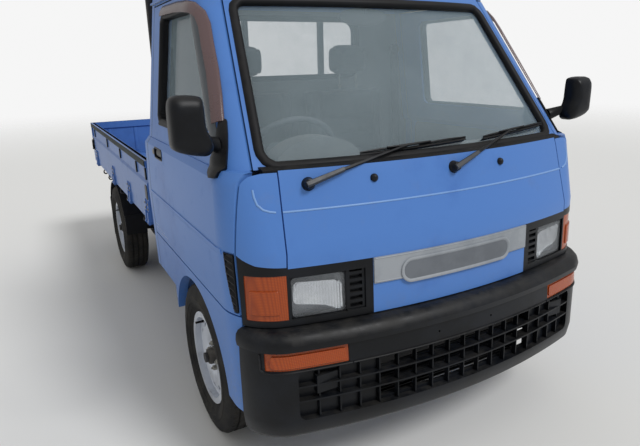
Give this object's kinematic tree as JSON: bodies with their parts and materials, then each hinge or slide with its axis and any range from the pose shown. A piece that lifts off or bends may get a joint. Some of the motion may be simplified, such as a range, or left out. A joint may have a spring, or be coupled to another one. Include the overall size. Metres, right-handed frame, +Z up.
{
  "type": "kei truck",
  "caption": "Small cab-over pickup with a drop-side bed: steered front wheels, hinged doors and drop-down gates.",
  "frame": {"origin": "on the ground under the middle of the truck's overall box", "axes": "+Z up, the truck faces -Y, +X is the truck's left side"},
  "size_m": [1.582, 3.295, 1.7699],
  "materials": {
    "body_paint": "semi-gloss, weathered",
    "chassis_black": "satin",
    "engine_metal": "matte",
    "tyre_rubber": "matte",
    "rim_steel": "satin",
    "black_plastic": "satin",
    "garnish_grey": "satin",
    "clear_glass": "polished",
    "lamp_glass": "polished",
    "amber_plastic": "polished",
    "red_plastic": "polished",
    "cabin_plastic": "matte",
    "seat_cloth": "matte",
    "rubber": "matte",
    "exhaust_steel": "dull"
  },
  "bodies": {
    "truck": {"cab_floor": "body_paint", "cab_rear": "body_paint", "cab_roof": "body_paint", "windscreen_frame": "body_paint", "front_panel": "body_paint", "corner_panels": "body_paint", "cab_bulkhead": "body_paint", "bed_floor": "body_paint", "bed_headboard": "body_paint", "frame_rails": "chassis_black", "rear_axle": "chassis_black", "leaf_springs": "chassis_black", "front_suspension": "chassis_black", "cab_guard": "chassis_black", "fuel_tank": "chassis_black", "engine_block": "engine_metal", "drive_line": "engine_metal", "spare_tyre": "tyre_rubber", "spare_rim": "rim_steel", "front_bumper": "black_plastic", "lamp_bezels": "black_plastic", "wipers": "black_plastic", "front_garnish": "garnish_grey", "cab_glass": "clear_glass", "headlamps": "lamp_glass", "amber_lamps": "amber_plastic", "tail_lamps": "red_plastic", "dashboard": "cabin_plastic", "steering_column": "cabin_plastic", "seat_cushions": "seat_cloth", "seat_backs": "seat_cloth", "headrests": "seat_cloth", "rear_mudguards": "rubber", "exhaust": "exhaust_steel"},
    "door_right_body": {"door_right": "body_paint", "door_glass_right": "clear_glass", "mirror_right": "black_plastic"},
    "door_left_body": {"door_left": "body_paint", "door_glass_left": "clear_glass", "mirror_left": "black_plastic"},
    "side_gate_right_body": {"side_gate_right": "body_paint"},
    "side_gate_left_body": {"side_gate_left": "body_paint"},
    "tailgate_body": {"tailgate": "body_paint"},
    "steering_wheel_body": {"steering_wheel": "cabin_plastic"},
    "knuckle_right_body": {"knuckle_right": "chassis_black"},
    "knuckle_left_body": {"knuckle_left": "chassis_black"},
    "wheel_front_right": {"tyre_front_right": "tyre_rubber", "rim_front_right": "rim_steel"},
    "wheel_front_left": {"tyre_front_left": "tyre_rubber", "rim_front_left": "rim_steel"},
    "wheel_rear_right": {"tyre_rear_right": "tyre_rubber", "rim_rear_right": "rim_steel"},
    "wheel_rear_left": {"tyre_rear_left": "tyre_rubber", "rim_rear_left": "rim_steel"}
  },
  "joints": [
    {"name": "steer_right", "type": "hinge", "parent": "truck", "child": "knuckle_right_body", "pos_m": [-0.59, -1.0375, 0.18], "axis": [0.2809, 0, 0.9597], "range_deg": [-30, 30]},
    {"name": "steer_left", "type": "hinge", "parent": "truck", "child": "knuckle_left_body", "pos_m": [0.59, -1.0375, 0.18], "axis": [-0.2809, 0, 0.9597], "range_deg": [-30, 30]},
    {"name": "steering_wheel_turn", "type": "hinge", "parent": "truck", "child": "steering_wheel_body", "pos_m": [-0.33, -1.0755, 0.95], "axis": [0, 0.866, 0.5], "range_deg": [-480, 480]},
    {"name": "wheel_front_right_spin", "type": "hinge", "parent": "knuckle_right_body", "child": "wheel_front_right", "pos_m": [-0.622, -1.0375, 0.271], "axis": [1, 0, 0], "continuous": true},
    {"name": "wheel_rear_right_spin", "type": "hinge", "parent": "truck", "child": "wheel_rear_right", "pos_m": [-0.622, 0.8625, 0.271], "axis": [1, 0, 0], "continuous": true},
    {"name": "door_right_open", "type": "hinge", "parent": "truck", "child": "door_right_body", "pos_m": [-0.655, -1.4225, 0.72], "axis": [0, 0, 1], "range_deg": [0, 62]},
    {"name": "side_gate_right_drop", "type": "hinge", "parent": "truck", "child": "side_gate_right_body", "pos_m": [-0.689, 0.6025, 0.61], "axis": [0, -1, 0], "range_deg": [0, 170]},
    {"name": "wheel_front_left_spin", "type": "hinge", "parent": "knuckle_left_body", "child": "wheel_front_left", "pos_m": [0.622, -1.0375, 0.271], "axis": [1, 0, 0], "continuous": true},
    {"name": "wheel_rear_left_spin", "type": "hinge", "parent": "truck", "child": "wheel_rear_left", "pos_m": [0.622, 0.8625, 0.271], "axis": [1, 0, 0], "continuous": true},
    {"name": "door_left_open", "type": "hinge", "parent": "truck", "child": "door_left_body", "pos_m": [0.655, -1.4225, 0.72], "axis": [0, 0, -1], "range_deg": [0, 62]},
    {"name": "side_gate_left_drop", "type": "hinge", "parent": "truck", "child": "side_gate_left_body", "pos_m": [0.689, 0.6025, 0.61], "axis": [0, 1, 0], "range_deg": [0, 170]},
    {"name": "tailgate_drop", "type": "hinge", "parent": "truck", "child": "tailgate_body", "pos_m": [0, 1.6395, 0.61], "axis": [-1, 0, 0], "range_deg": [0, 170]}
  ],
  "couplings": [
    {"joint": "steer_left", "follows": "steer_right", "ratio": 1},
    {"joint": "steering_wheel_turn", "follows": "steer_right", "ratio": 16}
  ]
}
